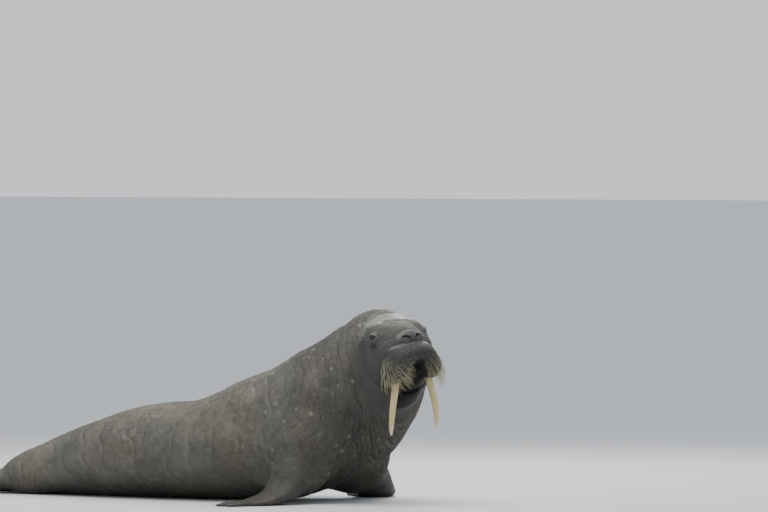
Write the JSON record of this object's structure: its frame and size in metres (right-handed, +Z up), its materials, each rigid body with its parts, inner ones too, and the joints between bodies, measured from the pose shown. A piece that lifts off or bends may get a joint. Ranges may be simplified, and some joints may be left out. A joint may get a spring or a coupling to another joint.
{
  "type": "walrus",
  "caption": "Life-size walrus resting on its belly with its head raised and turned, whiskered muzzle pads and two tusks.",
  "frame": {"origin": "on the flat that the belly rests on, under the middle of the trunk", "axes": "+X from the tail towards the head end, +Y to the animal's left, +Z up"},
  "size_m": [3.2206, 1.6404, 0.9735],
  "materials": {
    "hide": "wet satin skin, wrinkled, with very short hair",
    "ivory": "worn cream ivory with long fine cracks",
    "eye": "wet gloss",
    "whisker": "stiff translucent bristle",
    "claw": "dull horn"
  },
  "bodies": {
    "root": {"head": "hide", "neck": "hide", "torso": "hide", "rump": "hide", "tail": "hide", "lower_jaw": "hide", "muzzle_left": "hide", "muzzle_right": "hide", "fore_flipper_left": "hide", "fore_flipper_right": "hide", "hind_flipper_left": "hide", "hind_flipper_right": "hide", "tusk_left": "ivory", "tusk_right": "ivory", "eye_left": "eye", "eye_right": "eye"}
  },
  "joints": []
}
